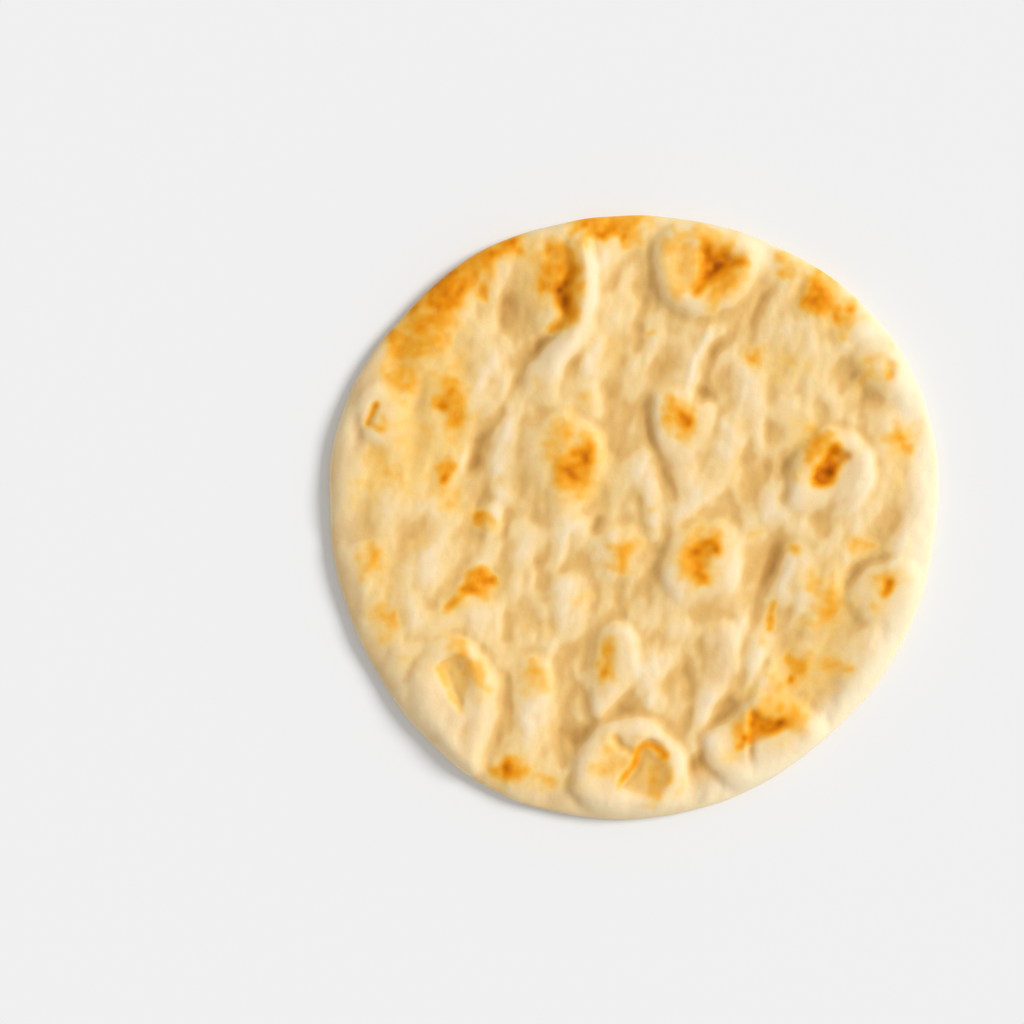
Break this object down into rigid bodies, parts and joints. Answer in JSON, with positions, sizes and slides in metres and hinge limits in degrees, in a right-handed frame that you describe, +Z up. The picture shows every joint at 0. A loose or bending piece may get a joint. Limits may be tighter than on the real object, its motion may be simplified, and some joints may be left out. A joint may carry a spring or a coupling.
{
  "type": "pita bread",
  "caption": "Round flatbread without a pocket, with a flat underside, a rounded edge and a blistered, toasted top, for tearing, dipping or folding round a filling.",
  "frame": {"origin": "middle of the outline's box, on the flat underside that the bread lies on", "axes": "+Z up out of the blistered top, +X along the widest extent, +Y towards the edge beside the star-shaped burst blister"},
  "size_m": [0.178, 0.1764, 0.0103],
  "materials": {
    "crust": "matte"
  },
  "bodies": {
    "root": {"pita": "crust"}
  },
  "joints": []
}
